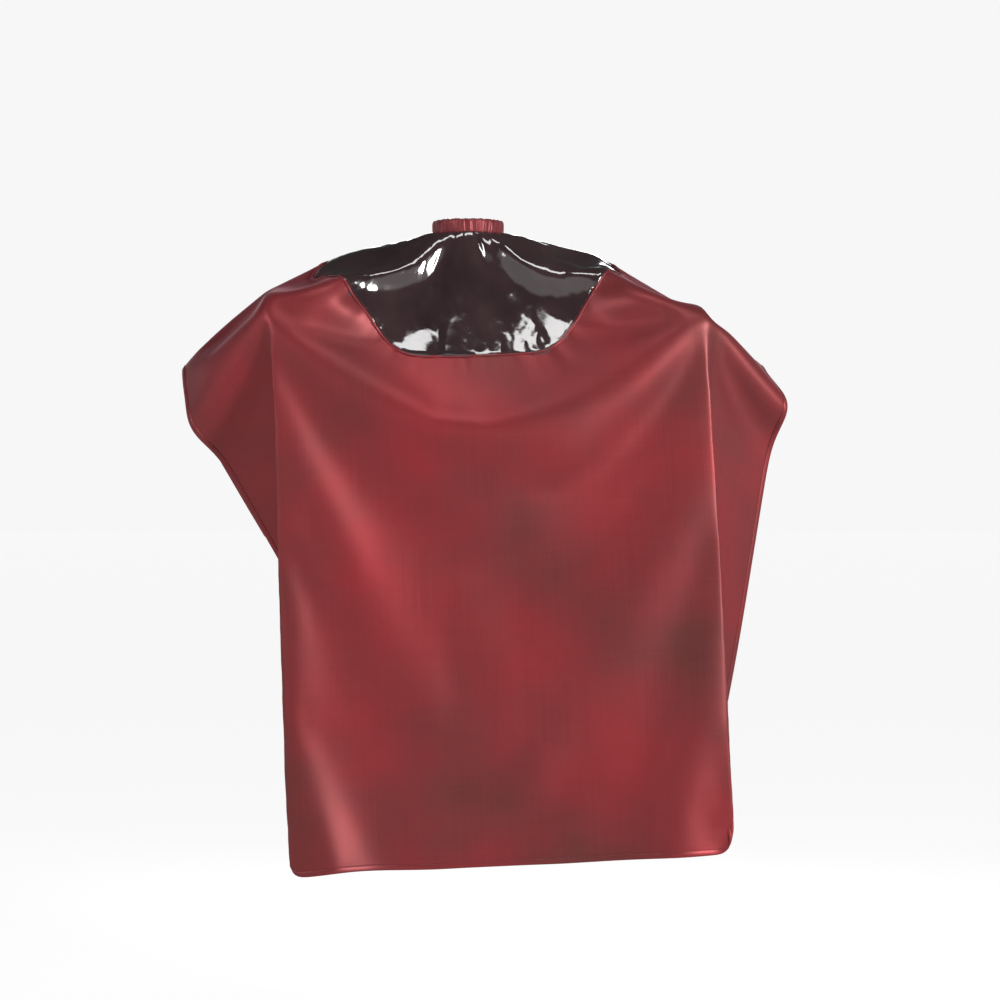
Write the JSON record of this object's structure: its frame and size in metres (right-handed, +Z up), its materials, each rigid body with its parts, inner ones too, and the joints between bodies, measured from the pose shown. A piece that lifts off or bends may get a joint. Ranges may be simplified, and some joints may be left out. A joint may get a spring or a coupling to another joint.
{
  "type": "barber cape",
  "caption": "Open-backed barber cape as worn: glossy vinyl yoke and shot nylon body hanging in folds from a ruched neckband that snaps shut behind the neck.",
  "frame": {"origin": "middle of the neck opening at half the neckband's height", "axes": "+Z up along the neck, -Y towards the wearer's front, +X to the wearer's left"},
  "size_m": [1.0414, 0.4045, 1.105],
  "materials": {
    "body_cloth": "satin plain weave, shot burgundy and brown",
    "band_cloth": "satin plain weave, gathered",
    "vinyl": "wet-look glossy vinyl",
    "binding": "woven tape",
    "elastic": "braided elastic",
    "stay": "woven interlining",
    "plated_snap": "nickel plated",
    "plated_brass": "nickel plated brass",
    "spring_steel": "bright wire"
  },
  "bodies": {
    "cape": {"back_hem_left": "body_cloth", "back_hem_right": "body_cloth", "back_placket_left": "body_cloth", "back_placket_right": "body_cloth", "body_back_left": "body_cloth", "body_back_right": "body_cloth", "body_front": "body_cloth", "body_left_side": "body_cloth", "body_right_side": "body_cloth", "closure_tab_root": "band_cloth", "front_hem": "body_cloth", "left_side_hem": "body_cloth", "neckband_elastic": "elastic", "neckband_lining": "band_cloth", "neckband_outer": "band_cloth", "right_side_hem": "body_cloth", "snap_post_1": "plated_brass", "snap_post_2": "plated_brass", "snap_post_3": "plated_brass", "snap_post_4": "plated_brass", "snap_stud_1": "plated_snap", "snap_stud_2": "plated_snap", "snap_stud_3": "plated_snap", "snap_stud_4": "plated_snap", "stay_tape_left": "stay", "stay_tape_right": "stay", "yoke_back_left": "vinyl", "yoke_back_right": "vinyl", "yoke_front": "vinyl", "yoke_seam_tape_back_left": "binding", "yoke_seam_tape_back_right": "binding", "yoke_seam_tape_front": "binding"},
    "closure_tab": {"closure_tab_lining": "band_cloth", "closure_tab_outer": "band_cloth", "snap_cap_1": "plated_snap", "snap_cap_2": "plated_snap", "snap_socket_1": "plated_snap", "snap_socket_2": "plated_snap", "snap_spring_1": "spring_steel", "snap_spring_2": "spring_steel"}
  },
  "joints": [
    {"name": "closure_tab_peel", "type": "hinge", "parent": "cape", "child": "closure_tab", "pos_m": [-0.0003, 0.0639, 0], "axis": [0, 0, -1], "range_deg": [0, 100]}
  ]
}
